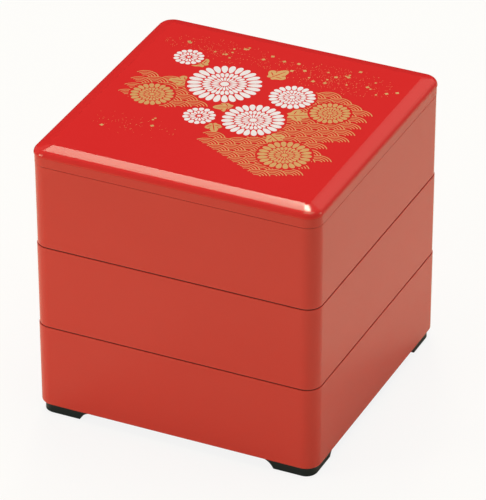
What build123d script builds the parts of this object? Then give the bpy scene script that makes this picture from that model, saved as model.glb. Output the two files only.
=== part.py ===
from build123d import *

import math
import os

# A square stacking box: three equal tiers, a flat lid with a rolled edge and four corner feet.
# Millimetres, +Z up, front towards -Y. The origin is on the floor, under the box's centre.

# Whole box
box_width = 195.0  # outside, across a rim
tier_height = 58.25  # from one joint to the next
corner_radius = 10.0  # the upright corners, at each tier's lower end
cut_overrun = 5.0  # how far a cut runs past what it cuts

# Tier walls and floors
wall = 3.2
wall_draft = 0.4  # how far each side comes in from the rim down to the joint
floor_thickness = 3.0
bevel_angle = 45  # degrees, of the rims' and heels' bevels
rim_bevel = 0.4
heel_bevel = 0.7  # the outer edge that sits on the rim below
hollow_corner_radius = 7.0
hollow_floor_radius = 3.0
hollow_straight = 3.5  # the height above the floor that has no draft

# Locating ring, which drops inside the rim below
ring_depth = 4.0
ring_wall = 2.4
ring_clearance = 0.4
ring_inner_radius = 4.2
ring_bevel = 0.6

# Base of the lower tier
base_band = 15.0  # the flat band that the feet are fixed to
base_recess_depth = 2.0
base_recess_radius = 5.0
base_round = 1.2

# Corner feet
foot_height = 7.0
foot_inset = 2.3  # from the wall's foot in to the foot's outer face
foot_arm = 36.2  # from the foot's corner to the end of each arm, along the base
foot_width = 10.0
foot_corner_radius = 7.7
foot_inner_radius = 4.0
foot_end_radius = 10.0  # the hollow sweep that ends each arm
foot_flange = 0.6  # what the sweep leaves of the arm's height at its end
foot_tread_bevel = 0.5
tongue_length = 12.0  # a tongue on top of each arm plugs into the base
tongue_width = 3.0
tongue_height = 2.6
tongue_place = 18.0  # from the foot's corner along the arm
tongue_side_clearance = 0.1
tongue_end_clearance = 0.3

# Lid
lid_skirt_height = 6.1
lid_top_thickness = 3.0
lid_joint_bevel = 0.3
lid_hollow_bevel = 1.2
roll_overhang = 0.4  # how far the rolled edge stands out past the skirt
roll_lip_angle = 45  # how steeply the roll's underside leaves the skirt
roll_land = 0.1  # what stays upright between the lip and the rolled edge
roll_radius = 4.0
crown_slope = 12  # degrees that the border falls from the flat top to the rolled edge
crown_run = 9.9  # from the roll's widest line in to the flat top
crown_hip_radius = 15.0  # softens the corners, where two slopes meet

# Heights of the joints
lower_joint = foot_height
middle_joint = lower_joint + tier_height
upper_joint = middle_joint + tier_height
lid_joint = upper_joint + tier_height

# Sizes worked out from those above
draft_angle = math.degrees(math.atan(wall_draft / tier_height))
ring_width = box_width - 2 * (wall + ring_clearance)
ring_outer_radius = hollow_corner_radius - ring_clearance
ring_hole_width = ring_width - 2 * ring_wall
base_thickness = floor_thickness + base_recess_depth
base_width = box_width - 2 * wall_draft
foot_corner = base_width / 2 - foot_inset
roll_lip = roll_overhang / math.tan(math.radians(roll_lip_angle))
roll_line = lid_joint + lid_skirt_height + roll_lip
roll_widest = box_width + 2 * roll_overhang
roll_corner_radius = corner_radius + roll_overhang
roll_side = roll_land + roll_radius * math.tan(math.radians((90 - crown_slope) / 2))
crown_fall_share = math.tan(math.radians(crown_slope))
lid_top = roll_line + roll_side + crown_run * crown_fall_share


def width_at(height):
    """The tier's outside width at a height above its own joint."""
    return box_width - 2 * wall_draft * (1 - height / tier_height)


def tier_outline(height):
    """A sketch of the tier's outside at a height above its own joint."""
    radius = corner_radius + wall_draft * height / tier_height
    with BuildSketch() as outline:
        RectangleRounded(width_at(height), width_at(height), radius)
    return outline.sketch


def tier_block(joint):
    """The outside of a tier that stands on another, still solid: bevelled heel, drafted sides, bevelled rim."""
    rim = tier_height - rim_bevel
    with BuildPart() as block:
        with BuildSketch(Plane.XY.offset(joint + heel_bevel)):
            add(tier_outline(heel_bevel))
        extrude(amount=rim - heel_bevel, taper=-draft_angle)
        with BuildSketch(Plane.XY.offset(joint + heel_bevel)):
            add(tier_outline(heel_bevel))
        extrude(amount=-heel_bevel, taper=bevel_angle)
        with BuildSketch(Plane.XY.offset(joint + rim)):
            add(tier_outline(rim))
        extrude(amount=rim_bevel, taper=bevel_angle)
    return block.part


def tier_hollow(joint, floor_height):
    """The room inside one tier, from its floor up past its rim, with a bevelled mouth."""
    draft_height = floor_height + hollow_straight
    inside = width_at(draft_height) - 2 * wall
    mouth_height = tier_height - rim_bevel
    mouth = width_at(mouth_height) - 2 * wall
    mouth_radius = hollow_corner_radius + (mouth - inside) / 2
    with BuildPart() as hollow:
        with BuildSketch(Plane.XY.offset(joint + floor_height)):
            RectangleRounded(inside, inside, hollow_corner_radius)
        extrude(amount=hollow_straight)
        fillet(hollow.edges().group_by(Axis.Z)[0], radius=hollow_floor_radius)
        with BuildSketch(Plane.XY.offset(joint + draft_height)):
            RectangleRounded(inside, inside, hollow_corner_radius)
        extrude(amount=mouth_height - draft_height, taper=-draft_angle)
        with BuildSketch(Plane.XY.offset(joint + mouth_height)):
            RectangleRounded(mouth, mouth, mouth_radius)
        extrude(amount=rim_bevel + cut_overrun, taper=-bevel_angle)
    return hollow.part


def locating_ring(joint):
    """The ring under a joint, which keeps the piece centred on the rim below."""
    with BuildPart() as ring:
        with BuildSketch(Plane.XY.offset(joint)):
            RectangleRounded(ring_width, ring_width, ring_outer_radius)
            RectangleRounded(ring_hole_width, ring_hole_width, ring_inner_radius, mode=Mode.SUBTRACT)
        extrude(amount=-ring_depth)
        chamfer(ring.edges().group_by(Axis.Z)[0], length=ring_bevel)
    return ring.part


def tongue_outline(clearance):
    """A sketch of the front left foot's two tongues, or of their sockets with a clearance."""
    length = tongue_length + 2 * clearance
    width = tongue_width + 2 * clearance
    along = tongue_place - foot_corner
    across = foot_width / 2 - foot_corner
    with BuildSketch() as outline:
        with Locations((along, across)):
            Rectangle(length, width)
        with Locations((across, along)):
            Rectangle(width, length)
    return outline.sketch


os.makedirs("parts", exist_ok=True)

# The feet, in the order that a quarter turn takes the first one to the next
foot_names = ("foot_front_left", "foot_front_right", "foot_back_right", "foot_back_left")

# Lower tier: a thicker base, recessed underneath, with blind sockets for the feet's tongues
with BuildPart() as lower_tier:
    with BuildSketch(Plane.XY.offset(lower_joint)):
        add(tier_outline(0))
    extrude(amount=tier_height - rim_bevel, taper=-draft_angle)
    fillet(lower_tier.edges().group_by(Axis.Z)[0], radius=base_round)
    with BuildSketch(Plane.XY.offset(middle_joint - rim_bevel)):
        add(tier_outline(tier_height - rim_bevel))
    extrude(amount=rim_bevel, taper=bevel_angle)
    add(tier_hollow(lower_joint, base_thickness), mode=Mode.SUBTRACT)
    with BuildSketch(Plane.XY.offset(lower_joint)):
        recess_width = base_width - 2 * base_band
        RectangleRounded(recess_width, recess_width, base_recess_radius)
    extrude(amount=base_recess_depth, mode=Mode.SUBTRACT)
    with BuildSketch(Plane.XY.offset(lower_joint)):
        with PolarLocations(0, len(foot_names)):
            add(tongue_outline(tongue_side_clearance))
    extrude(amount=tongue_height + tongue_end_clearance, mode=Mode.SUBTRACT)
lower_tier.part.label = "lower_tier"
export_step(lower_tier.part, "parts/lower_tier.step")

# Middle and upper tiers: alike, each with a locating ring under its floor
for label, joint in (("middle_tier", middle_joint), ("upper_tier", upper_joint)):
    with BuildPart() as tier:
        add(tier_block(joint))
        add(tier_hollow(joint, floor_thickness), mode=Mode.SUBTRACT)
        add(locating_ring(joint))
    tier.part.label = label
    export_step(tier.part, f"parts/{label}.step")

# Front left foot: an L under the corner, each arm ending in a hollow sweep
arm_end = foot_arm - foot_corner
with BuildPart() as corner_foot:
    with BuildSketch():
        with BuildLine():
            Polyline(
                (-foot_corner, -foot_corner),
                (arm_end, -foot_corner),
                (arm_end, foot_width - foot_corner),
                (foot_width - foot_corner, foot_width - foot_corner),
                (foot_width - foot_corner, arm_end),
                (-foot_corner, arm_end),
                close=True,
            )
        make_face()
    extrude(amount=foot_height)
    upright = corner_foot.edges().filter_by(Axis.Z).sort_by(Axis((0, 0, 0), (1, 1, 0)))
    fillet(upright[0], radius=foot_corner_radius)
    inner_corner = corner_foot.edges().filter_by(Axis.Z).sort_by_distance(
        (foot_width - foot_corner, foot_width - foot_corner, foot_height / 2)
    )
    fillet(inner_corner[0], radius=foot_inner_radius)
    sweep_centre = foot_height - foot_flange - foot_end_radius
    with BuildSketch(Plane.XZ):
        with Locations((arm_end, sweep_centre)):
            Circle(foot_end_radius)
    extrude(amount=foot_corner + cut_overrun, mode=Mode.SUBTRACT)
    with BuildSketch(Plane.YZ):
        with Locations((arm_end, sweep_centre)):
            Circle(foot_end_radius)
    extrude(amount=-foot_corner - cut_overrun, mode=Mode.SUBTRACT)
    tread = corner_foot.faces().sort_by(Axis.Z)[0]
    chamfer(tread.edges().sort_by(Axis((0, 0, 0), (1, 1, 0)))[0:3], length=foot_tread_bevel)
    with BuildSketch(Plane.XY.offset(foot_height)):
        add(tongue_outline(0))
    extrude(amount=tongue_height)

# The four feet are the same moulding, turned a quarter each
for turn, label in enumerate(foot_names):
    with BuildPart() as foot:
        add(corner_foot.part, rotation=(0, 0, 90 * turn))
    foot.part.label = label
    export_step(foot.part, f"parts/{label}.step")

# Top of the lid: a flat field, a border that slopes to the sides with softened hips, a rolled edge
half = roll_widest / 2
with BuildPart() as lid_cap:
    with BuildSketch(Plane.XY.offset(roll_line)):
        RectangleRounded(roll_widest, roll_widest, roll_corner_radius)
    extrude(amount=lid_top - roll_line)
    for section in (Plane.XZ, Plane.YZ):
        outside = half + cut_overrun
        shoulder = lid_top - (crown_run + cut_overrun) * crown_fall_share
        with BuildSketch(section):
            with BuildLine():
                Polyline(
                    (-outside, roll_line - cut_overrun),
                    (outside, roll_line - cut_overrun),
                    (outside, shoulder),
                    (half - crown_run, lid_top),
                    (crown_run - half, lid_top),
                    (-outside, shoulder),
                    close=True,
                )
            make_face()
        extrude(amount=outside, both=True, mode=Mode.INTERSECT)
    hips = lid_cap.edges().group_by(Axis.Z)[-2]
    fillet(hips, radius=crown_hip_radius)
    sides = lid_cap.faces().filter_by(lambda face: abs(face.normal_at().Z) < crown_fall_share / 2)
    rim = sides.edges().filter_by(Axis.Z, reverse=True).filter_by_position(Axis.Z, roll_line + roll_land, lid_top)
    fillet(rim, radius=roll_radius)

with BuildPart() as lid_hollow:
    with BuildSketch(Plane.XY.offset(lid_top - lid_top_thickness)):
        RectangleRounded(ring_hole_width, ring_hole_width, ring_inner_radius)
    extrude(amount=lid_joint - ring_depth - cut_overrun - lid_top)
    chamfer(lid_hollow.edges().group_by(Axis.Z)[-1], length=lid_hollow_bevel)

# Lid: a skirt flush with the walls, a lip under the rolled edge, and a locating ring inside
with BuildPart() as lid:
    with BuildSketch(Plane.XY.offset(lid_joint)):
        RectangleRounded(box_width, box_width, corner_radius)
    extrude(amount=lid_skirt_height)
    chamfer(lid.edges().group_by(Axis.Z)[0], length=lid_joint_bevel)
    with BuildSketch(Plane.XY.offset(lid_joint + lid_skirt_height)):
        RectangleRounded(box_width, box_width, corner_radius)
    extrude(amount=roll_lip, taper=-roll_lip_angle)
    add(lid_cap.part)
    add(lid_hollow.part, mode=Mode.SUBTRACT)
    add(locating_ring(lid_joint))
lid.part.label = "lid"
export_step(lid.part, "parts/lid.step")
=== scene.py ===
"""Dresses a stacking lacquer box: three vermilion tiers, a lid with a rolled edge and four black feet."""
import sys
import logging
import math
import random
from abc import ABC, abstractmethod
from dataclasses import dataclass, field
from enum import Enum, IntEnum
from typing import Callable, ClassVar, Iterable, Iterator

import bmesh
import bpy
from mathutils import Matrix, Vector


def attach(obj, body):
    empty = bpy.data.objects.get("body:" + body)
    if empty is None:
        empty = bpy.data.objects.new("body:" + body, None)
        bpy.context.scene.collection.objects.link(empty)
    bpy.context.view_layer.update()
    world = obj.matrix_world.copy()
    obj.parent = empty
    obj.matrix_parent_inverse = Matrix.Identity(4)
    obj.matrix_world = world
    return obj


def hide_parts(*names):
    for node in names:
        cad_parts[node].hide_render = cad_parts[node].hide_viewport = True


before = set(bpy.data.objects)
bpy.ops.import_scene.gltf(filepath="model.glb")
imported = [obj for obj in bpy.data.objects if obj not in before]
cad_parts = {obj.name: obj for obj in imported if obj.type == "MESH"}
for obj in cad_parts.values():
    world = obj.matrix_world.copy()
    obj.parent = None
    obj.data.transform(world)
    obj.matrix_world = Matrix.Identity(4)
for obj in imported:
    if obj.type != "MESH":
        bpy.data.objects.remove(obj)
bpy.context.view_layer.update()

# The box's sizes are in millimetres, which MM turns into metres
MM = 0.001
FOOT_HEIGHT = 7.0
TIER_HEIGHT = 58.25
FIELD_HEIGHT = 193.633

IMAGE_LONG_SIDE = 500
SENSOR_MM = 36.0
WHITE_LIGHT = (1.0, 1.0, 1.0)

log = logging.getLogger("jubako")

Colour = tuple[float, float, float]
Size = tuple[float, float, float]
Node = bpy.types.Node
Socket = bpy.types.NodeSocket
Sockets = bpy.types.bpy_prop_collection
Mesh = bmesh.types.BMesh


class Body(Enum):
    """The moving bodies of the box, as the record names them."""

    BASE = "base"
    MIDDLE = "middle"
    UPPER = "upper"
    COVER = "cover"


class Side(IntEnum):
    """Which of a moulding's lacquers a strip has, by its material slot."""

    OUTSIDE = 0
    INSIDE = 1
    # TOP takes the top's copy of the red lacquer, which carries painted light.
    TOP = 2


def vertices(parts: Iterable[object]) -> list[bmesh.types.BMVert]:
    """Picks the vertices out of what a mesh operator gives back."""
    return [part for part in parts if isinstance(part, bmesh.types.BMVert)]


def add_object(name: str, mesh: Mesh, *materials: bpy.types.Material) -> bpy.types.Object:
    """Turns a mesh into an object of the scene.

    Args:
        name: The object's name.
        mesh: The mesh, which is freed.
        materials: What its slots hold.

    Returns:
        The object.
    """
    data = bpy.data.meshes.new(name)
    mesh.to_mesh(data)
    mesh.free()
    for material in materials:
        data.materials.append(material)
    made = bpy.data.objects.new(name, data)
    bpy.context.scene.collection.objects.link(made)
    return made


# Node trees


class Board:
    """Lays out and wires the nodes of one material, group or world."""

    spacing: ClassVar[float] = 200.0

    def __init__(self, tree: bpy.types.NodeTree) -> None:
        """Starts with an empty tree."""
        self.tree = tree
        self.tree.nodes.clear()

    def feed(self, target: Socket, value: object) -> None:
        """Wires a socket to another, or sets it to a plain value.

        Args:
            target: The input socket.
            value: An output socket, a number or a colour.
        """
        if isinstance(value, Socket):
            self.tree.links.new(value, target)
        elif isinstance(value, tuple) and target.type == "RGBA":
            target.default_value = (*value, 1.0)
        else:
            target.default_value = value

    def add(self, kind: str, *values: object, **settings: object) -> Node:
        """Adds a node.

        Args:
            kind: The node's type name, without its "ShaderNode".
            values: What its first inputs are fed, in order.
            settings: Properties to set, or inputs to feed by their names, with _ for a space.

        Returns:
            The new node.
        """
        node = self.tree.nodes.new(kind if kind.startswith("Node") else "ShaderNode" + kind)
        node.location = (self.spacing * len(self.tree.nodes), 0.0)
        for socket, value in zip(node.inputs, values):
            self.feed(socket, value)
        for name, value in settings.items():
            if name.replace("_", " ") in node.inputs:
                self.feed(node.inputs[name.replace("_", " ")], value)
            else:
                setattr(node, name, value)
        return node

    def calculate(self, operation: str, *values: object, clamp: bool = False) -> Socket:
        """Adds a Math node of the operation."""
        return self.add("Math", *values, operation=operation, use_clamp=clamp).outputs[0]

    def remap(self, value: object, low: float, high: float, start: float = 0.0, end: float = 1.0) -> Socket:
        """Maps low to start and high to end, and keeps what lies beyond at either."""
        return self.add("MapRange", value, low, high, start, end).outputs[0]

    def blend(self, share: object, first: object, second: object) -> Socket:
        """Mixes two colours.

        Args:
            share: How much of the second colour shows.
            first: The first colour or its socket.
            second: The second colour or its socket.

        Returns:
            The result's socket.
        """
        node = self.add("Mix", share, data_type="RGBA")
        self.feed(node.inputs[6], first)
        self.feed(node.inputs[7], second)
        return node.outputs[2]

    def coordinates(self) -> Socket:
        """Adds the surface's own coordinates, in metres."""
        return self.add("TexCoord").outputs["Object"]

    def noise(self, where: Socket, scale: object, detail: float = 2.0, roughness: float = 0.5) -> Socket:
        """Adds a noise: its features in a metre, its finer layers and how strong each of these is."""
        node = self.add("TexNoise", Vector=where, Scale=scale, Detail=detail, Roughness=roughness)
        return node.outputs["Fac"]

    def streaks(
        self, where: Socket, turn: float, stretch: Size, detail: float = 1.0, roughness: float = 0.5,
    ) -> Socket:
        """Adds a noise that is turned about Z, in radians, and stretched into streaks."""
        mapping = self.add("Mapping", Vector=where, Rotation=(0.0, 0.0, turn), Scale=stretch)
        return self.noise(mapping.outputs[0], scale=1.0, detail=detail, roughness=roughness)

    def bump(self, height: Socket, strength: object, distance: float) -> Socket:
        """Turns a height, whose 1 stands for the distance in metres, into a normal."""
        return self.add("Bump", Height=height, Strength=strength, Distance=distance).outputs["Normal"]


def add_material(name: str) -> tuple[bpy.types.Material, Board]:
    """Starts a material.

    Args:
        name: The material's name.

    Returns:
        The material, and the board that its nodes are laid out on.
    """
    material = bpy.data.materials.new(name)
    material.use_nodes = True
    return material, Board(material.node_tree)


class Effect(ABC):
    """A surface effect that several materials share, kept as one shader node group.

    Its inputs are names with a kind and a value, and its outputs names with a kind.
    """

    name: ClassVar[str]
    inputs: ClassVar[dict[str, tuple[str, object]]]
    outputs: ClassVar[dict[str, str]]

    @abstractmethod
    def wire(self, board: Board, given: Sockets) -> dict[str, Socket]:
        """Wires the group.

        Args:
            board: The group's board.
            given: What its inputs give.

        Returns:
            What each of its outputs is fed.
        """

    def tree(self) -> bpy.types.NodeTree:
        """Builds the group once.

        Returns:
            The group's node tree.
        """
        known = bpy.data.node_groups.get(self.name)
        if known:
            return known
        tree = bpy.data.node_groups.new(self.name, "ShaderNodeTree")
        for name, (kind, value) in self.inputs.items():
            socket = tree.interface.new_socket(name=name, in_out="INPUT", socket_type="NodeSocket" + kind)
            socket.default_value = (*value, 1.0) if kind == "Color" else value
        for name, kind in self.outputs.items():
            tree.interface.new_socket(name=name, in_out="OUTPUT", socket_type="NodeSocket" + kind)
        board = Board(tree)
        board.add("NodeGroupOutput", **self.wire(board, board.add("NodeGroupInput").outputs))
        return tree

    def place(self, board: Board, **values: object) -> Sockets:
        """Places the group in a material, with values for its inputs, and gives its outputs."""
        return board.add("Group", node_tree=self.tree(), **values).outputs


class ToneDrift(Effect):
    """A slow drift between two tones with fine mottle, as hand-rubbed or moulded colour has."""

    name = "tone drift"
    inputs = {
        "Colour": ("Color", (0.8, 0.8, 0.8)), "Deep": ("Color", (0.5, 0.5, 0.5)),
        "Drift": ("Float", 0.3), "Mottle": ("Float", 0.1), "Grain": ("Float", 900.0),
    }
    outputs = {"Colour": "Color", "Value": "Float"}

    def wire(self, board: Board, given: Sockets) -> dict[str, Socket]:
        """Mixes a broad noise and a fine one into one share of the deep tone.

        Args:
            board: The group's board.
            given: What its inputs give.

        Returns:
            What each of its outputs is fed.
        """
        where = board.coordinates()
        broad = board.remap(board.noise(where, scale=11.0, detail=3.0), low=0.3, high=0.7)
        grain = board.noise(where, given["Grain"], detail=4.0, roughness=0.6)
        fine = board.remap(grain, low=0.35, high=0.65)
        drift = board.calculate("MULTIPLY", broad, given["Drift"])
        share = board.calculate("MULTIPLY_ADD", fine, given["Mottle"], drift, clamp=True)
        return {"Colour": board.blend(share, given["Colour"], given["Deep"]), "Value": share}


class OrangePeel(Effect):
    """The low waves and fine pitting that a sprayed or brushed coat dries with."""

    name = "orange peel"
    inputs = {
        "Waves": ("Float", 160.0), "Pits": ("Float", 1400.0),
        "Pitting": ("Float", 0.25), "Strength": ("Float", 0.2),
    }
    outputs = {"Normal": "Vector", "Height": "Float"}
    tallest: ClassVar[float] = 0.0004

    def wire(self, board: Board, given: Sockets) -> dict[str, Socket]:
        """Adds the pits to the waves and turns both into a normal.

        Args:
            board: The group's board.
            given: What its inputs give.

        Returns:
            What each of its outputs is fed.
        """
        where = board.coordinates()
        waves = board.noise(where, given["Waves"], roughness=0.4)
        pits = board.noise(where, given["Pits"], roughness=0.6)
        height = board.calculate("MULTIPLY_ADD", pits, given["Pitting"], waves)
        return {"Normal": board.bump(height, given["Strength"], self.tallest), "Height": height}


class EdgeWear(Effect):
    """Where handling has thinned the coat, from the wear that each edge of a moulding carries."""

    name = "edge wear"
    inputs = {"Amount": ("Float", 0.5), "Breakup": ("Float", 260.0)}
    outputs = {"Mask": "Float"}

    def wire(self, board: Board, given: Sockets) -> dict[str, Socket]:
        """Breaks the wear of the edges up with a noise.

        Args:
            board: The group's board.
            given: What its inputs give.

        Returns:
            What each of its outputs is fed.
        """
        edge = board.add("Attribute", attribute_type="GEOMETRY", attribute_name="wear").outputs["Fac"]
        cloud = board.noise(board.coordinates(), given["Breakup"], detail=4.0, roughness=0.65)
        patches = board.remap(cloud, low=0.3, high=0.7, start=0.25, end=1.0)
        worn = board.calculate("MULTIPLY", edge, patches)
        return {"Mask": board.calculate("MULTIPLY", worn, given["Amount"], clamp=True)}


class Handling(Effect):
    """Fine hairlines and faint smudges, which change only how a surface shines."""

    name = "handling marks"
    inputs = {"Hairlines": ("Float", 0.1), "Smudges": ("Float", 0.1)}
    outputs = {"Mask": "Float"}
    lines: ClassVar[tuple[tuple[float, Size], ...]] = (
        (0.5, (30.0, 2200.0, 500.0)), (-0.9, (1900.0, 40.0, 450.0)),
    )

    def wire(self, board: Board, given: Sockets) -> dict[str, Socket]:
        """Draws two crossing sets of stretched noise as hairlines and a soft cloud as smudges.

        Args:
            board: The group's board.
            given: What its inputs give.

        Returns:
            What each of its outputs is fed.
        """
        where = board.coordinates()
        lines = [board.remap(board.streaks(where, *line), low=0.66, high=0.74) for line in self.lines]
        hair = board.calculate("MULTIPLY", board.calculate("MAXIMUM", *lines), given["Hairlines"])
        cloud = board.remap(board.noise(where, scale=34.0, detail=3.0, roughness=0.6), low=0.45, high=0.75)
        return {"Mask": board.calculate("MULTIPLY_ADD", cloud, given["Smudges"], hair, clamp=True)}


# Finishes


@dataclass(frozen=True)
class Finish(ABC):
    """A finish of the box, which makes one material."""

    name: str
    colour: Colour
    deep: Colour
    roughness: float
    ior: float

    @abstractmethod
    def wire(self, board: Board) -> dict[str, object]:
        """Wires what feeds the skin.

        Args:
            board: The material's board.

        Returns:
            What each input of the Principled BSDF is fed, with _ for a space in its name.
        """

    def tone(self, board: Board, drift: float, mottle: float, grain: float) -> Sockets:
        """Places the drift between the finish's two tones."""
        tones = {"Colour": self.colour, "Deep": self.deep}
        return ToneDrift().place(board, **tones, Drift=drift, Mottle=mottle, Grain=grain)

    def material(self) -> bpy.types.Material:
        """Builds the finish's material once.

        Returns:
            The material.
        """
        known = bpy.data.materials.get(self.name)
        if known:
            return known
        material, board = add_material(self.name)
        material.diffuse_color = (*self.colour, 1.0)
        skin = board.add("BsdfPrincipled", IOR=self.ior, **self.wire(board))
        board.add("OutputMaterial", Surface=skin.outputs[0])
        return material


@dataclass(frozen=True)
class Lacquer(Finish):
    """Lacquer over a moulded body: a clear gloss with low waves, worn a little at the edges."""

    worn: Colour
    peel: float
    wear: float
    tint: Colour = WHITE_LIGHT
    smudge_matt: float = 0.07
    wear_matt: float = 0.2

    def wire(self, board: Board) -> dict[str, object]:
        """Wires tone, wear, waves and handling marks.

        Args:
            board: The material's board.

        Returns:
            What the inputs of the Principled BSDF are fed.
        """
        tone = self.tone(board, drift=0.34, mottle=0.16, grain=1100.0)
        mask = EdgeWear().place(board, Amount=self.wear, Breakup=240.0)["Mask"]
        peel = OrangePeel().place(board, Waves=150.0, Pits=1500.0, Pitting=0.22, Strength=self.peel)
        marks = Handling().place(board, Hairlines=0.15, Smudges=0.4)["Mask"]
        matt = board.calculate("MULTIPLY_ADD", marks, self.smudge_matt, self.roughness)
        return {
            "Base_Color": board.blend(mask, tone["Colour"], self.worn),
            "Roughness": board.calculate("MULTIPLY_ADD", mask, self.wear_matt, matt),
            "Normal": peel["Normal"],
            "Specular_Tint": self.tint,
        }


@dataclass(frozen=True)
class GoldPrint(Finish):
    """Gold powder bound in clear varnish, a little uneven in its cover."""

    metal: float
    speckle: float
    smoother: float = 0.1
    rougher: float = 0.12

    def wire(self, board: Board) -> dict[str, object]:
        """Wires the powder's flakes, its thin places and its grain.

        Args:
            board: The material's board.

        Returns:
            What the inputs of the Principled BSDF are fed.
        """
        tone = self.tone(board, drift=0.5, mottle=self.speckle, grain=2600.0)
        grain = OrangePeel().place(board, Waves=700.0, Pits=5200.0, Pitting=0.9, Strength=0.35)
        smooth, rough = self.roughness - self.smoother, self.roughness + self.rougher
        return {
            "Base_Color": tone["Colour"],
            "Metallic": board.remap(tone["Value"], 0.0, 1.0, start=self.metal, end=self.metal / 2),
            "Roughness": board.remap(grain["Height"], low=0.5, high=1.4, start=smooth, end=rough),
            "Normal": grain["Normal"],
        }


@dataclass(frozen=True)
class Enamel(Finish):
    """Opaque painted enamel, with the faint streaks of the brush."""

    streak: float
    smoother: float = 0.07
    rougher: float = 0.08
    brush: tuple[float, Size] = (0.7, (180.0, 2400.0, 400.0))

    def wire(self, board: Board) -> dict[str, object]:
        """Wires the streaks, which change colour, shine and height together.

        Args:
            board: The material's board.

        Returns:
            What the inputs of the Principled BSDF are fed.
        """
        tone = self.tone(board, drift=0.25, mottle=0.3, grain=1500.0)
        streak = board.streaks(board.coordinates(), *self.brush, detail=3.0, roughness=0.6)
        share = board.remap(streak, low=0.42, high=0.72, end=self.streak)
        smooth, rough = self.roughness - self.smoother, self.roughness + self.rougher
        return {
            "Base_Color": board.blend(share, tone["Colour"], self.deep),
            "Roughness": board.remap(streak, low=0.3, high=0.7, start=smooth, end=rough),
            "Normal": board.bump(streak, strength=0.3, distance=0.0001),
        }


@dataclass(frozen=True)
class Moulded(Finish):
    """Satin black moulded resin with a fine spark texture, scuffed pale near the floor."""

    scuff: Colour
    tread: float
    scuff_share: float = 0.6
    scuff_matt: float = 0.25
    smudge_matt: float = 0.12

    def wire(self, board: Board) -> dict[str, object]:
        """Wires the spark texture and the scuffs of the tread.

        Args:
            board: The material's board.

        Returns:
            What the inputs of the Principled BSDF are fed.
        """
        tone = self.tone(board, drift=0.5, mottle=0.35, grain=1800.0)
        spark = OrangePeel().place(board, Waves=1300.0, Pits=3600.0, Pitting=0.8, Strength=0.3)
        marks = Handling().place(board, Hairlines=0.35, Smudges=0.5)["Mask"]
        where = board.coordinates()
        height = board.add("SeparateXYZ", where).outputs["Z"]
        low = board.remap(height, 0.0, self.tread, start=1.0, end=0.0)
        rubbed = board.remap(board.noise(where, scale=420.0, detail=4.0, roughness=0.7), low=0.42, high=0.66)
        share = board.calculate("MULTIPLY", board.calculate("MULTIPLY", low, rubbed), self.scuff_share)
        matt = board.calculate("MULTIPLY_ADD", marks, self.smudge_matt, self.roughness)
        return {
            "Base_Color": board.blend(share, tone["Colour"], self.scuff),
            "Roughness": board.calculate("MULTIPLY_ADD", share, self.scuff_matt, matt, clamp=True),
            "Normal": spark["Normal"],
        }


# Painted light: the walls' copy of the red lacquer is more orange than the top's, standing in for warm
# reflections on the walls.
VERMILION_WITH_PAINTED_WARM_REFLECTION = Lacquer(
    "vermilion_lacquer_painted_warm_reflection", colour=(0.695, 0.048, 0.033), deep=(0.655, 0.040, 0.027), worn=(0.82, 0.12, 0.06),
    roughness=0.16, ior=1.45, peel=0.06, wear=0.3, tint=(1.0, 0.96, 0.85),
)
# Painted light: the lid top's copy of the red lacquer is redder and brighter than the walls', standing in for
# stronger light on the top.
CRIMSON_WITH_PAINTED_TOP_LIGHT = Lacquer(
    "crimson_lacquer_painted_top_light", colour=(0.735, 0.026, 0.024), deep=(0.705, 0.020, 0.019), worn=(0.80, 0.07, 0.05),
    roughness=0.115, ior=1.45, peel=0.06, wear=0.2, tint=(0.66, 1.0, 0.66),
)
BLACK = Lacquer(
    "black_lacquer", colour=(0.013, 0.011, 0.010), deep=(0.007, 0.006, 0.006), worn=(0.06, 0.03, 0.022),
    roughness=0.2, ior=1.5, peel=0.08, wear=0.4,
)
GOLD = GoldPrint(
    "gold_print", colour=(0.74, 0.44, 0.14), deep=(0.56, 0.28, 0.07),
    roughness=0.45, ior=1.5, metal=0.3, speckle=0.45,
)
WHITE = Enamel(
    "white_enamel", colour=(0.90, 0.87, 0.83), deep=(0.80, 0.68, 0.60), roughness=0.35, ior=1.5, streak=0.5,
)
FEET = Moulded(
    "satin_black_resin", colour=(0.006, 0.018, 0.019), deep=(0.003, 0.010, 0.011), scuff=(0.07, 0.08, 0.08),
    roughness=0.36, ior=1.38, tread=0.0012,
)


# Mouldings


@dataclass(frozen=True)
class Section:
    """One level rounded square of a moulding, in millimetres, with the finish of the strip after it."""

    half: float
    radius: float
    height: float
    side: Side
    wear: float


@dataclass
class Profile:
    """A moulding's sections, from the middle of its upper side round to the middle of its underside."""

    side: Side
    sections: list[Section] = field(default_factory=list)
    least_radius: float = 0.2

    def to(self, half: float, radius: float, height: float, wear: float = 0.0) -> None:
        """Adds a section of this half width, corner radius, height and wear, from 0 to 1."""
        self.sections.append(Section(half, max(radius, self.least_radius), height, self.side, wear))

    def turn(
        self, half: float, height: float, radius: float, bend: float, start: float, end: float,
        steps: int, wear: float = 0.0,
    ) -> None:
        """Adds an arc of sections whose corners keep the arc's own middle.

        Args:
            half: Half the width at the arc's middle.
            height: The height of the arc's middle.
            radius: The corners' radius at the arc's middle.
            bend: The arc's radius.
            start: Where it starts, in degrees above level.
            end: Where it ends.
            steps: How many parts it has.
            wear: How worn it is.
        """
        for step in range(steps + 1):
            angle = math.radians(start + (end - start) * step / steps)
            out = bend * math.cos(angle)
            self.to(half + out, radius + out, height + bend * math.sin(angle), wear)


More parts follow.
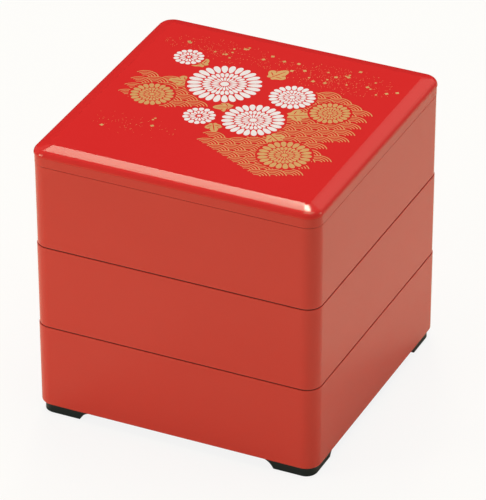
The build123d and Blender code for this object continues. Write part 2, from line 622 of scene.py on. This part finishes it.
@dataclass
class Moulding(ABC):
    """A lacquered moulding that takes the place of its CAD node."""

    node: str
    body: Body
    corner_steps: int = 14
    crease: float = 9.0

    @abstractmethod
    def profile(self) -> Profile:
        """The moulding's sections."""

    def square(self, mesh: Mesh, section: Section) -> bmesh.types.BMFace:
        """Makes one section: a square face whose corners are bevelled round.

        Args:
            mesh: The mesh it is made in.
            section: Its sizes.

        Returns:
            Its face.
        """
        wear = mesh.verts.layers.float["wear"]
        before = set(mesh.faces)
        corners = bmesh.ops.create_grid(
            mesh, x_segments=1, y_segments=1, size=section.half * MM,
            matrix=Matrix.Translation((0.0, 0.0, section.height * MM)),
        )
        bmesh.ops.bevel(
            mesh, geom=corners["verts"], offset=section.radius * MM, offset_type="OFFSET",
            segments=self.corner_steps, profile=0.5, affect="VERTICES", material=-1, clamp_overlap=False,
        )
        face = next(face for face in mesh.faces if face not in before)
        for vert in face.verts:
            vert[wear] = section.wear
        return face

    def shell(self) -> Mesh:
        """Bridges the sections into one closed shell.

        Returns:
            The shell.
        """
        mesh = bmesh.new()
        mesh.verts.layers.float.new("wear")
        sections = self.profile().sections
        squares = [self.square(mesh, section) for section in sections]
        loops = [list(square.edges) for square in squares]
        for loop, onward, section in zip(loops, loops[1:], sections):
            for face in bmesh.ops.bridge_loops(mesh, edges=loop + onward)["faces"]:
                face.material_index = section.side
        squares[0].material_index = sections[0].side
        squares[-1].material_index = sections[-1].side
        bmesh.ops.delete(mesh, geom=squares[1:-1], context="FACES_ONLY")
        bmesh.ops.recalc_face_normals(mesh, faces=mesh.faces)
        return mesh

    def build(self) -> None:
        """Makes the moulding's object, riding on its body in its node's place."""
        # The walls and the top take two copies of one red lacquer, which differ by painted light.
        piece = Piece(f"{self.node}_shell", self.body, (VERMILION_WITH_PAINTED_WARM_REFLECTION, BLACK, CRIMSON_WITH_PAINTED_TOP_LIGHT), "lacquer")
        made = piece.finish(self.shell(), smooth=True)
        made.data.set_sharp_from_angle(angle=math.radians(self.crease))
        weigh = made.modifiers.new("even shading", "WEIGHTED_NORMAL")
        weigh.mode = "FACE_AREA"
        weigh.keep_sharp = True
        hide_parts(self.node)


@dataclass
class Piece:
    """A finished piece: its object, finishes and body, and a slot name that is not used."""

    name: str
    body: Body
    finishes: tuple[Finish, ...]
    slot: str

    def finish(self, mesh: Mesh, smooth: bool = False) -> bpy.types.Object:
        """Turns a mesh into an object that rides on its body.

        Args:
            mesh: The mesh, which is freed.
            smooth: Whether its faces are shaded smooth.

        Returns:
            The object.
        """
        for face in mesh.faces:
            face.smooth = smooth
        made = add_object(self.name, mesh, *(finish.material() for finish in self.finishes))
        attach(made, self.body.value)
        log.info("%s: %d faces on %s", self.name, len(made.data.polygons), self.body.value)
        return made


@dataclass
class Ring:
    """The locating ring under a moulding, in millimetres."""

    half: float = 93.9
    wall: float = 2.4
    radius: float = 6.6
    inner_radius: float = 4.2
    depth: float = 4.0
    bevel: float = 0.6
    inner_bevel: float = 0.2
    bevel_steps: int = 3
    straight: float = 0.8
    wear: float = 0.8
    inner_wear: float = 0.5

    @property
    def inner(self) -> float:
        """Half the width of the opening inside the ring."""
        return self.half - self.wall

    def add(self, profile: Profile, joint: float) -> None:
        """Adds the ring, from the joint's face down and round to its inner side.

        Args:
            profile: The profile so far.
            joint: The joint's height.
        """
        low, bend, small = joint - self.depth, self.bevel, self.inner_bevel
        profile.to(self.half, self.radius, joint)
        profile.to(self.half, self.radius, low + bend + self.straight)
        profile.turn(
            self.half - bend, low + bend, self.radius - bend, bend, 0.0, -90.0, self.bevel_steps, self.wear,
        )
        profile.to(self.inner + bend, self.inner_radius + bend, low, self.wear)
        profile.to(self.inner + small, self.inner_radius + small, low + small, self.wear)
        profile.to(self.inner, self.inner_radius, low + bend, self.inner_wear)


@dataclass
class Lid(Moulding):
    """The lid, in millimetres and degrees: flat field, sloping border, rolled edge, lip and short skirt."""

    node: str = "lid"
    body: Body = Body.COVER
    joint: float = FOOT_HEIGHT + 3 * TIER_HEIGHT
    field_half: float = 88.0
    field_radius: float = 3.1
    field_height: float = FIELD_HEIGHT
    border_swell: float = 0.07
    border_steps: int = 5
    roll_half: float = 93.9
    roll_height: float = 188.35
    roll_radius: float = 4.0
    roll_start: float = 78.0
    roll_steps: int = 13
    roll_corner: float = 6.4
    roll_land: float = 0.1
    roll_wear: float = 0.2
    skirt_half: float = 97.5
    skirt_radius: float = 10.0
    skirt_straight: float = 1.2
    lip: float = 0.4
    heel: float = 0.3
    heel_in: float = 0.9
    heel_red_end: float = -10.0
    heel_black_start: float = -15.0
    heel_steps: int = 3
    ceiling: float = 190.693
    ceiling_bevel: float = 1.2
    ceiling_break: float = 0.4
    ring: Ring = field(default_factory=Ring)

    def add_border(self, profile: Profile) -> None:
        """Adds the field's edge and the border, which rises a little between the field and the roll.

        Args:
            profile: The profile so far.
        """
        start = math.radians(self.roll_start)
        reach = self.roll_radius * math.cos(start)
        wide = self.roll_half + reach - self.field_half
        wider = self.roll_corner + reach - self.field_radius
        fall = self.field_height - self.roll_height - self.roll_radius * math.sin(start)
        for step in range(self.border_steps):
            share = step / self.border_steps
            height = self.field_height - fall * share + 4.0 * self.border_swell * share * (1.0 - share)
            profile.to(self.field_half + wide * share, self.field_radius + wider * share, height)

    def profile(self) -> Profile:
        """Draws the lid, from the field out over the roll and in to the ceiling.

        Returns:
            Its sections.
        """
        profile = Profile(Side.TOP)
        self.add_border(profile)
        profile.turn(
            self.roll_half, self.roll_height, self.roll_corner, self.roll_radius, self.roll_start, 0.0,
            self.roll_steps, self.roll_wear,
        )
        land = self.roll_height - self.roll_land
        profile.to(self.skirt_half + self.lip, self.skirt_radius + self.lip, land)
        profile.side = Side.OUTSIDE
        profile.to(self.skirt_half, self.skirt_radius, land - self.lip)
        profile.to(self.skirt_half, self.skirt_radius, self.joint + self.heel + self.skirt_straight)
        heel = (self.skirt_half - self.heel, self.joint + self.heel, self.skirt_radius - self.heel, self.heel)
        profile.turn(*heel, 0.0, self.heel_red_end, 1)
        profile.side = Side.INSIDE
        profile.turn(*heel, self.heel_black_start, -90.0, self.heel_steps)
        profile.to(self.skirt_half - self.heel_in, self.skirt_radius - self.heel_in, self.joint)
        self.ring.add(profile, self.joint)
        inner, radius = self.ring.inner, self.ring.inner_radius
        profile.to(inner, radius, self.ceiling - self.ceiling_bevel)
        profile.to(inner - self.ceiling_break, radius, self.ceiling - self.ceiling_break)
        profile.to(inner - self.ceiling_bevel, radius, self.ceiling)
        return profile


@dataclass
class Tier(Moulding):
    """A tier, in millimetres, that stands on the rim below, with a locating ring under its floor."""

    joint: float = 0.0
    height: float = TIER_HEIGHT
    floor: float = 3.0
    rim_half: float = 97.5
    draft: float = 0.4
    outer_radius: float = 10.0
    wall: float = 3.2
    inner_radius: float = 7.0
    floor_round: float = 3.0
    floor_steps: int = 6
    straight: float = 3.5
    rim_round: float = 0.4
    rim_steps: int = 3
    rim_straight: float = 1.4
    rim_wear: float = 0.4
    heel_round: float = 0.7
    heel_steps: int = 4
    heel_in: float = 0.6
    heel_wear: float = 0.3
    mouth_straight: float = 1.6
    mouth_ease: float = 0.01
    mouth_wear: float = 0.5
    ring: Ring = field(default_factory=Ring)

    def outer(self, rise: float) -> tuple[float, float]:
        """Half the outside width and the corner's radius at a height above the joint."""
        share = rise / self.height
        return self.rim_half - self.draft * (1.0 - share), self.outer_radius + self.draft * share

    def add_hollow(self, profile: Profile) -> None:
        """Adds the floor, the inner walls and the rim's inner half.

        Args:
            profile: The profile so far.
        """
        profile.side = Side.INSIDE
        level, bend, rim = self.floor + self.straight, self.floor_round, self.rim_round
        inner = self.outer(level)[0] - self.wall
        bottom = self.joint + self.floor + bend
        profile.turn(inner - bend, bottom, self.inner_radius - bend, bend, -90.0, 0.0, self.floor_steps)
        profile.to(inner, self.inner_radius, self.joint + level)
        mouth = self.outer(self.height - rim)[0] - self.wall
        radius = self.inner_radius + mouth - inner
        top = self.joint + self.height - rim
        profile.to(mouth - self.mouth_ease, radius, top - self.mouth_straight)
        profile.side = Side.OUTSIDE
        profile.turn(mouth + rim, top, radius + rim, rim, 180.0, 90.0, self.rim_steps, self.mouth_wear)

    def add_walls(self, profile: Profile) -> None:
        """Adds the rim's outer half and the outside down to the heel.

        Args:
            profile: The profile so far.
        """
        top, rim = self.height - self.rim_round, self.rim_round
        half, radius = self.outer(top)
        profile.turn(
            half - rim, self.joint + top, radius - rim, rim, 90.0, 0.0, self.rim_steps, self.rim_wear,
        )
        for rise in (top - self.rim_straight, self.heel_round + self.rim_straight):
            profile.to(*self.outer(rise), self.joint + rise)

    def add_heel(self, profile: Profile) -> None:
        """Adds the round of the heel.

        Args:
            profile: The profile so far.
        """
        half, radius = self.outer(self.heel_round)
        bend = self.heel_round
        profile.turn(
            half - bend, self.joint + bend, radius - bend, bend, 0.0, -90.0, self.heel_steps, self.heel_wear,
        )
        profile.side = Side.INSIDE
        profile.to(half - bend - self.heel_in, radius - bend - self.heel_in, self.joint)

    def add_underside(self, profile: Profile) -> None:
        """Adds the heel, the joint's face, the ring and the floor's underside.

        Args:
            profile: The profile so far.
        """
        profile.side = Side.INSIDE
        self.add_heel(profile)
        self.ring.add(profile, self.joint)
        profile.to(self.ring.inner, self.ring.inner_radius, self.joint)

    def profile(self) -> Profile:
        """Draws the tier, from its floor up over the rim and down to its underside.

        Returns:
            Its sections.
        """
        profile = Profile(Side.INSIDE)
        self.add_hollow(profile)
        self.add_walls(profile)
        self.add_underside(profile)
        return profile


@dataclass
class LowerTier(Tier):
    """The lower tier: a thicker base with a shallow recess underneath."""

    heel_steps: int = 6
    recess: float = 2.0
    recess_half: float = 82.1
    recess_radius: float = 5.0
    recess_break: float = 0.3
    recess_wear: float = 0.5

    def add_underside(self, profile: Profile) -> None:
        """Adds the base's round, the band that the feet are fixed to and the recess.

        Args:
            profile: The profile so far.
        """
        self.add_heel(profile)
        half, radius, small = self.recess_half, self.recess_radius, self.recess_break
        profile.to(half + small, radius + small, self.joint, self.recess_wear)
        profile.to(half, radius, self.joint + small, self.recess_wear)
        profile.to(half, radius, self.joint + self.recess)


# Decoration


class Stencil:
    """A flat shape of the decoration, drawn round its own middle."""

    def __init__(self) -> None:
        """Starts empty."""
        self.mesh = bmesh.new()

    def lay(self, other: "Stencil", places: Iterable["Place"]) -> None:
        """Lays another stencil down once in each place.

        Args:
            other: The stencil, which is freed.
            places: Where it goes.
        """
        drawn = bpy.data.meshes.new("stencil")
        other.mesh.to_mesh(drawn)
        other.mesh.free()
        for place in places:
            copy = drawn.copy()
            copy.transform(place.matrix)
            self.mesh.from_mesh(copy)
            bpy.data.meshes.remove(copy)
        bpy.data.meshes.remove(drawn)


@dataclass(frozen=True)
class Place:
    """A place on the lid's field, in millimetres and degrees."""

    x: float = 0.0
    y: float = 0.0
    turn: float = 0.0

    @property
    def matrix(self) -> Matrix:
        """The place as a matrix, in metres."""
        place = Matrix.Translation((self.x * MM, self.y * MM, 0.0))
        return place @ Matrix.Rotation(math.radians(self.turn), 4, "Z")


class Motif(ABC):
    """A shape that the decoration repeats."""

    @abstractmethod
    def draw(self) -> Stencil:
        """Draws the motif round its own middle."""


@dataclass(frozen=True)
class Disc(Motif):
    """A plain round or polygonal spot."""

    radius: float
    sides: int = 14

    def draw(self) -> Stencil:
        """Draws a circle.

        Returns:
            Its stencil.
        """
        spot = Stencil()
        bmesh.ops.create_circle(spot.mesh, cap_ends=True, segments=self.sides, radius=self.radius * MM)
        return spot


@dataclass(frozen=True)
class Petal(Motif):
    """A rounded petal that points along +X from the middle, narrower at its root."""

    inner: float
    outer: float
    width: float
    root: float = 0.35
    points: int = 16

    def draw(self) -> Stencil:
        """Draws a circle, stretched and tapered.

        Returns:
            Its stencil.
        """
        petal = Stencil()
        half = (self.outer - self.inner) / 2.0
        verts = bmesh.ops.create_circle(petal.mesh, cap_ends=True, segments=self.points, radius=MM)["verts"]
        bmesh.ops.scale(petal.mesh, vec=(half, self.width / 2.0, 1.0), verts=verts)
        for vert in verts:
            along = (vert.co.x / (half * MM) + 1.0) / 2.0
            bmesh.ops.scale(petal.mesh, vec=(1.0, self.root + (1.0 - self.root) * along, 1.0), verts=[vert])
        bmesh.ops.translate(petal.mesh, vec=((self.inner + half) * MM, 0.0, 0.0), verts=verts)
        return petal


@dataclass(frozen=True)
class PetalRing(Motif):
    """A full ring of petals."""

    petal: Petal
    count: int

    def draw(self) -> Stencil:
        """Spins copies of one petal round the middle.

        Returns:
            Its stencil.
        """
        ring = self.petal.draw()
        bmesh.ops.spin(
            ring.mesh, geom=[*ring.mesh.verts, *ring.mesh.edges, *ring.mesh.faces], cent=(0.0, 0.0, 0.0),
            axis=(0.0, 0.0, 1.0), angle=math.tau * (self.count - 1) / self.count, steps=self.count - 1,
            use_duplicate=True,
        )
        return ring


@dataclass(frozen=True)
class Chrysanthemum(Motif):
    """A round chrysanthemum of full petals in rings, with a round heart."""

    place: Place
    radius: float
    petals: int = 22
    fullness: float = 1.062
    widest: float = 0.62
    root: float = 0.95
    least_root: float = 0.3
    heart: float = 0.12
    large: float = 12.0
    rows: tuple[tuple[float, float, int], ...] = ((0.60, 1.0, 0), (0.36, 0.60, 0), (0.14, 0.36, 6))
    small_rows: tuple[tuple[float, float, int], ...] = ((0.60, 1.0, 0), (0.22, 0.60, 0))

    def ring(self, inner: float, outer: float, count: int) -> PetalRing:
        """Works out one ring of petals.

        Args:
            inner: Where its petals start, as a share of the flower's radius.
            outer: Where they end.
            count: How many there are.

        Returns:
            The ring.
        """
        width = math.tau * self.radius * (inner + (outer - inner) * self.widest) / count * self.fullness
        root = max(inner / outer * self.root, self.least_root)
        return PetalRing(Petal(self.radius * inner, self.radius * outer, width, root), count)

    def draw(self) -> Stencil:
        """Draws the rings, the second half a petal on from the others, and the heart.

        Returns:
            Its stencil.
        """
        flower = Stencil()
        rows = self.rows if self.radius > self.large else self.small_rows
        for number, (inner, outer, fewer) in enumerate(rows):
            count = self.petals - fewer
            flower.lay(self.ring(inner, outer, count).draw(), [Place(turn=180.0 / count * (number % 2))])
        flower.lay(Disc(self.radius * self.heart).draw(), [Place()])
        return flower


@dataclass(frozen=True)
class Leaf(Motif):
    """A chrysanthemum leaf of five lobes, the longest along +X."""

    place: Place
    length: float
    lobes: int = 5
    notch: float = 0.15
    root: float = 0.3
    slender: float = 0.85
    points: int = 60

    def draw(self) -> Stencil:
        """Draws a circle and pulls its edge out into the lobes.

        Returns:
            Its stencil.
        """
        leaf = Stencil()
        radius = self.length * MM
        circle = bmesh.ops.create_circle(leaf.mesh, cap_ends=True, segments=self.points, radius=radius)
        for vert in circle["verts"]:
            angle = math.atan2(vert.co.y, vert.co.x)
            taper = self.root + (1.0 - self.root) * math.cos(angle / 2.0) ** 2
            vert.co *= taper * (1.0 - self.notch + self.notch * math.cos(self.lobes * angle))
            vert.co.y *= self.slender
        return leaf


@dataclass(frozen=True)
class Veins(Motif):
    """A leaf's midrib and side veins, each a turn and the shares of the leaf that it runs between."""

    length: float
    width: float = 0.75
    points: int = 10
    veins: tuple[tuple[float, float, float], ...] = (
        (0.0, -0.3, 0.85), (66.0, 0.1, 0.5), (-66.0, 0.1, 0.5), (34.0, 0.42, 0.62), (-34.0, 0.42, 0.62),
    )

    def draw(self) -> Stencil:
        """Lays down one slim petal for each vein.

        Returns:
            Its stencil.
        """
        veins = Stencil()
        for turn, start, end in self.veins:
            vein = Petal(self.length * start, self.length * end, self.width, 1.0, self.points)
            veins.lay(vein.draw(), [Place(turn=turn)])
        return veins


@dataclass(frozen=True)
class WaveFan(Motif):
    """One fan of the blue-sea wave: nested arcs, each a share of its radius that starts at an angle."""

    radius: float = 9.0
    line: float = 0.62
    steps: int = 14
    least_steps: int = 4
    arcs: tuple[tuple[float, float], ...] = ((1.0, 30.5), (0.79, 35.5), (0.58, 39.0), (0.37, 38.0))

    def draw(self) -> Stencil:
        """Spins a short edge into each of the arcs.

        Returns:
            Its stencil.
        """
        fan = Stencil()
        for share, start in self.arcs:
            reach = self.radius * share
            edge = [fan.mesh.verts.new(((reach - back) * MM, 0.0, 0.0)) for back in (self.line, 0.0)]
            line = fan.mesh.edges.new(edge)
            turn = Matrix.Rotation(math.radians(start), 3, "Z")
            bmesh.ops.rotate(fan.mesh, cent=(0.0, 0.0, 0.0), matrix=turn, verts=edge)
            steps = max(self.least_steps, round(self.steps * share))
            bmesh.ops.spin(
                fan.mesh, geom=[*edge, line], cent=(0.0, 0.0, 0.0), axis=(0.0, 0.0, 1.0),
                angle=math.radians(180.0 - 2 * start), steps=steps, use_duplicate=False,
            )
        return fan


@dataclass(frozen=True)
class Oval:
    """A patch of the field that waves or flecks fill, in millimetres."""

    x: float
    y: float
    wide: float
    deep: float
    crowding: float = 0.7

    def reach(self, x: float, y: float) -> float:
        """How far out of the patch a point is: 1 on its outline."""
        return math.hypot((x - self.x) / self.wide, (y - self.y) / self.deep)

    def scatter(self, chance: random.Random, count: int, limit: float) -> Iterator[Place]:
        """Picks places at random, thicker at the patch's middle.

        Args:
            chance: The random numbers.
            count: How many places are tried.
            limit: How far from the field's middle lines they may lie.

        Yields:
            The places, each turned at random.
        """
        for _ in range(count):
            angle, reach = chance.uniform(0.0, math.tau), chance.random() ** self.crowding
            x = self.x + self.wide * reach * math.cos(angle)
            y = self.y + self.deep * reach * math.sin(angle)
            if max(abs(x), abs(y)) < limit:
                yield Place(x, y, chance.uniform(0.0, 90.0))


@dataclass
class Layer:
    """One printed or painted layer on the lid's field, in millimetres."""

    name: str
    finish: Finish
    top: float
    thickness: float = 0.05
    sheet: Stencil = field(default_factory=Stencil)

    def lay(self, motif: Motif, places: Iterable[Place]) -> None:
        """Draws a motif once in each place."""
        self.sheet.lay(motif.draw(), places)

    def build(self) -> None:
        """Gives the layer's flat shapes their thickness, and makes its object, riding on the lid."""
        mesh = self.sheet.mesh
        lifted = bmesh.ops.extrude_face_region(mesh, geom=list(mesh.faces), use_keep_orig=True)["geom"]
        rise = Vector((0.0, 0.0, self.thickness * MM))
        bmesh.ops.translate(mesh, vec=rise, verts=vertices(lifted))
        low = Vector((0.0, 0.0, (self.top - self.thickness) * MM))
        bmesh.ops.translate(mesh, vec=low, verts=mesh.verts)
        bmesh.ops.recalc_face_normals(mesh, faces=mesh.faces)
        Piece(self.name, Body.COVER, (self.finish,), "lacquer").finish(mesh)


@dataclass
class LidDecoration:
    """A generic pattern of chrysanthemums over banks of waves, printed and painted on the lid's field."""

    field_height: float = FIELD_HEIGHT
    field_half: float = 85.0
    white_flowers: tuple[Chrysanthemum, ...] = (
        Chrysanthemum(Place(-22.0, 27.0, 4.0), 24.0, petals=26),
        Chrysanthemum(Place(14.0, -8.0, 11.0), 20.0, petals=24),
        Chrysanthemum(Place(24.0, 29.0), 15.0, petals=20),
        Chrysanthemum(Place(-58.0, 50.0, 8.0), 10.0, petals=14),
        Chrysanthemum(Place(-19.0, -17.0, 3.0), 10.5, petals=14),
    )
    gold_flowers: tuple[Chrysanthemum, ...] = (
        Chrysanthemum(Place(54.0, 20.0, 6.0), 13.0, petals=20),
        Chrysanthemum(Place(50.0, -40.0, 2.0), 17.0, petals=22),
        Chrysanthemum(Place(-58.0, -4.0, 9.0), 14.0, petals=20),
    )
    leaves: tuple[Leaf, ...] = (
        Leaf(Place(2.0, 49.0, 62.0), 12.0), Leaf(Place(-46.0, 45.0, 150.0), 11.0),
        Leaf(Place(34.0, 8.0, 25.0), 12.0), Leaf(Place(-7.0, 1.0, 205.0), 10.0),
        Leaf(Place(34.0, -22.0, -35.0), 11.0), Leaf(Place(-46.0, 20.0, 190.0), 11.0),
        Leaf(Place(-6.0, -24.0, -60.0), 9.0),
    )
    wave: WaveFan = field(default_factory=WaveFan)
    banks: tuple[Oval, ...] = (
        Oval(-56.0, 4.0, 22.0, 15.0), Oval(-44.0, -8.0, 20.0, 14.0), Oval(-66.0, -12.0, 12.0, 9.0),
        Oval(50.0, 20.0, 24.0, 17.0), Oval(56.0, -6.0, 21.0, 18.0), Oval(34.0, -20.0, 30.0, 15.0),
        Oval(46.0, -40.0, 30.0, 17.0), Oval(20.0, -48.0, 26.0, 13.0), Oval(48.0, -62.0, 24.0, 12.0),
    )
    drifts: tuple[tuple[Oval, int], ...] = (
        (Oval(-40.0, 66.0, 42.0, 15.0), 230), (Oval(40.0, 62.0, 42.0, 17.0), 300),
        (Oval(-52.0, -44.0, 30.0, 14.0), 60),
    )
    flecks: tuple[tuple[Disc, float], ...] = (
        (Disc(1.5, 4), 0.035), (Disc(1.0, 4), 0.03), (Disc(0.26, 6), 0.2), (Disc(0.17, 6), 1.0),
    )
    fleck_margin: float = 2.0
    ground_margin: float = 1.2
    ground_points: int = 48
    layers: tuple[tuple[str, Finish, float], ...] = (
        ("gold_waves", GOLD, 0.02), ("gold_leaves", GOLD, 0.03), ("leaf_veins", CRIMSON_WITH_PAINTED_TOP_LIGHT, 0.035),
        ("flower_grounds", CRIMSON_WITH_PAINTED_TOP_LIGHT, 0.042), ("gold_petals", GOLD, 0.055), ("white_petals", WHITE, 0.06),
    )
    seed: int = 11

    def wave_places(self) -> Iterator[Place]:
        """Sets the waves out, row behind row.

        Yields:
            The middles of the fans that lie in a bank.
        """
        radius = self.wave.radius
        rows, columns = int(4 * self.field_half / radius), int(self.field_half / radius) + 1
        for row in range(rows + 1):
            y = -self.field_half + row * radius / 2.0
            for column in range(-columns, columns + 1):
                x = 2 * radius * (column + (row % 2) / 2.0)
                near = max(abs(x), abs(y)) + radius < self.field_half
                if near and any(bank.reach(x, y) < 1.0 for bank in self.banks):
                    yield Place(x, y)

    def draw_waves(self, waves: Layer) -> None:
        """Draws the banks of waves and the drifts of flecks.

        Args:
            waves: The layer that they are in.
        """
        waves.lay(self.wave, self.wave_places())
        chance, limit = random.Random(self.seed), self.field_half - self.fleck_margin
        for fleck, share in self.flecks:
            for drift, count in self.drifts:
                waves.lay(fleck, drift.scatter(chance, round(count * share), limit))

    def build(self) -> None:
        """Builds the six layers, each a little over the one below."""
        sheets = [Layer(name, finish, self.field_height + rise) for name, finish, rise in self.layers]
        waves, leaves, veins, ground, gold, white = sheets
        self.draw_waves(waves)
        for leaf in self.leaves:
            leaves.lay(leaf, [leaf.place])
            veins.lay(Veins(leaf.length), [leaf.place])
        for paint, flowers in ((white, self.white_flowers), (gold, self.gold_flowers)):
            for flower in flowers:
                ground.lay(Disc(flower.radius + self.ground_margin, self.ground_points), [flower.place])
                paint.lay(flower, [flower.place])
        for sheet in sheets:
            sheet.build()


@dataclass
class Feet:
    """The four corner feet, which keep their CAD nodes."""

    names: tuple[str, ...] = ("foot_front_left", "foot_front_right", "foot_back_right", "foot_back_left")

    def dress(self) -> None:
        """Gives each foot the satin resin."""
        for name in self.names:
            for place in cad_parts[name].material_slots:
                place.material = FEET.material()
            log.info("%s: dressed", name)


# Studio


@dataclass(frozen=True)
class Camera:
    """The camera that matches the photograph's view, in millimetres, degrees and pixels."""

    focal: float = 4419.074
    distance: float = 2812.568
    azimuth: float = 24.938
    elevation: float = 30.908
    roll: float = -0.101
    aside: float = 2.880
    above: float = -11.629
    middle: float = 105.0

    def build(self) -> None:
        """Places the camera and makes it the scene's."""
        azimuth, elevation = math.radians(self.azimuth), math.radians(self.elevation)
        right = Vector((math.cos(azimuth), math.sin(azimuth), 0.0))
        away = Vector((math.sin(azimuth), -math.cos(azimuth), 0.0))
        back = away * math.cos(elevation) + Vector((0.0, 0.0, math.sin(elevation)))
        up = back.cross(right)
        lean = math.radians(self.roll)
        across = right * math.cos(lean) + up * math.sin(lean)
        upright = up * math.cos(lean) - right * math.sin(lean)
        place = Vector((0.0, 0.0, self.middle)) + back * self.distance
        place += across * self.aside + upright * self.above
        data = bpy.data.cameras.new("photo_camera")
        data.sensor_width = SENSOR_MM
        data.lens = self.focal * SENSOR_MM / IMAGE_LONG_SIDE
        camera = bpy.data.objects.new("photo_camera", data)
        axes = Matrix((across, upright, back)).transposed()
        camera.matrix_world = Matrix.Translation(place * MM) @ axes.to_4x4()
        bpy.context.scene.collection.objects.link(camera)
        bpy.context.scene.camera = camera


@dataclass(frozen=True)
class SoftLamp:
    """A rectangular softbox, in metres, as bright as a mirror would show it, level or aimed at the box."""

    name: str
    place: Size
    wide: float
    deep: float
    radiance: float
    target: Size = (0.0, 0.0, 0.1)
    level: bool = False

    def build(self) -> None:
        """Places the lamp."""
        data = bpy.data.lights.new(self.name, "AREA")
        data.shape = "RECTANGLE"
        data.size, data.size_y = self.wide, self.deep
        data.energy = self.radiance * self.wide * self.deep * math.pi
        lamp = bpy.data.objects.new(self.name, data)
        lamp.location = self.place
        if not self.level:
            aim = Vector(self.target) - Vector(self.place)
            lamp.rotation_euler = aim.to_track_quat("-Z", "Y").to_euler()
        bpy.context.scene.collection.objects.link(lamp)


@dataclass(frozen=True)
class DarkCard:
    """A folded dark card, in metres, that only the reflections in the lid's top show."""

    wide: float = 1.4
    deep: float = 1.1
    place: Size = (-1.03, 0.65, 0.01)
    rise: float = 0.66
    wing: float = 0.6
    edge_share: float = 0.4
    grey: float = 0.02

    def fold(self, mesh: Mesh, chosen: Callable[[Vector], bool], shift: Size) -> None:
        """Adds a part of the card beyond one of its edges.

        Args:
            mesh: The card so far.
            chosen: Whether a point is an end of that edge.
            shift: How far the part reaches.
        """
        edges = [edge for edge in mesh.edges if all(chosen(vert.co) for vert in edge.verts)]
        added = bmesh.ops.extrude_edge_only(mesh, edges=edges)["geom"]
        bmesh.ops.translate(mesh, vec=shift, verts=vertices(added))

    def build(self) -> None:
        """Lays the card's first part on the floor and folds the others up from it."""
        material, board = add_material("dark_card")
        board.add("OutputMaterial", Surface=board.add("BsdfDiffuse", Color=(self.grey,) * 3).outputs[0])
        mesh = bmesh.new()
        bmesh.ops.create_grid(mesh, x_segments=1, y_segments=1, size=0.5)
        bmesh.ops.scale(mesh, vec=(self.wide, self.deep, 1.0), verts=mesh.verts)
        bmesh.ops.translate(mesh, vec=self.place, verts=mesh.verts)
        right = self.place[0] + self.edge_share * self.wide
        back = self.place[1] + self.edge_share * self.deep
        self.fold(mesh, lambda at: at.y > back, (0.0, 0.0, self.rise))
        self.fold(mesh, lambda at: at.y > back and at.x > right, (self.wing, 0.0, 0.0))
        self.fold(mesh, lambda at: at.x < 0.0 and at.z > self.rise / 2, (0.0, 0.0, self.rise))
        card = add_object("dark_card", mesh, material)
        card.visible_camera = card.visible_diffuse = card.visible_shadow = False


@dataclass(frozen=True)
class Studio:
    """A plain pale floor under soft lamps, in metres, with a dark card that keeps glare off the lid's top."""

    floor_half: float = 6.0
    floor_colour: Colour = (0.93, 0.855, 0.64)
    clean: float = 0.87
    sky: float = 0.28
    backdrop: float = 0.97
    lamps: tuple[SoftLamp, ...] = (
        SoftLamp("overhead_softbox", (0.10, -0.05, 1.90), 1.1, 1.1, 3.9, level=True),
        SoftLamp("back_softbox", (-0.72, 1.13, 1.90), 0.75, 0.60, 5.3, level=True),
        SoftLamp("small_back_lamp", (-0.48, 1.10, 1.85), 0.28, 0.28, 20.0),
        SoftLamp("left_softbox", (-1.10, -1.15, 0.50), 0.6, 0.6, 7.0),
        SoftLamp("right_softbox", (1.50, 0.60, 0.75), 0.5, 0.5, 3.5),
        SoftLamp("far_softbox", (0.45, 2.00, 1.45), 1.5, 1.0, 0.5),
    )

    def build_floor(self) -> None:
        """Lays the floor, pale to the eye and still shadowed."""
        material, board = add_material("pale_floor")
        matt = board.add("BsdfDiffuse", Color=self.floor_colour)
        share = board.calculate("MULTIPLY", board.add("LightPath").outputs["Is Camera Ray"], self.clean)
        mix = board.add("MixShader", share, matt.outputs[0], board.add("Emission").outputs[0])
        board.add("OutputMaterial", Surface=mix.outputs[0])
        mesh = bmesh.new()
        bmesh.ops.create_grid(mesh, x_segments=4, y_segments=4, size=self.floor_half)
        add_object("studio_floor", mesh, material)

    def build_world(self) -> None:
        """Fills the room with even light, and shows a pale backdrop."""
        world = bpy.data.worlds.new("studio_world")
        world.use_nodes = True
        bpy.context.scene.world = world
        board = Board(world.node_tree)
        seen = board.add("LightPath").outputs["Is Camera Ray"]
        level = board.remap(seen, 0.0, 1.0, start=self.sky, end=self.backdrop)
        air = board.add("Background", Color=WHITE_LIGHT, Strength=level)
        board.add("OutputWorld", Surface=air.outputs[0])

    def build(self) -> None:
        """Builds the floor, card, world and lamps."""
        self.build_floor()
        DarkCard().build()
        self.build_world()
        for lamp in self.lamps:
            lamp.build()
        bpy.context.scene.view_settings.view_transform = "Standard"


def main() -> None:
    """Builds the camera, the studio, the mouldings, the decoration and the feet."""
    logging.basicConfig(level=logging.INFO, format="%(message)s", stream=sys.stdout)
    Camera().build()
    Studio().build()
    mouldings = (
        Lid(),
        Tier("upper_tier", Body.UPPER, joint=FOOT_HEIGHT + 2 * TIER_HEIGHT),
        Tier("middle_tier", Body.MIDDLE, joint=FOOT_HEIGHT + TIER_HEIGHT),
        LowerTier("lower_tier", Body.BASE, joint=FOOT_HEIGHT, floor=5.0, heel_round=1.2, heel_wear=0.4),
    )
    for moulding in mouldings:
        moulding.build()
    LidDecoration().build()
    Feet().dress()


if __name__ == "__main__":
    main()
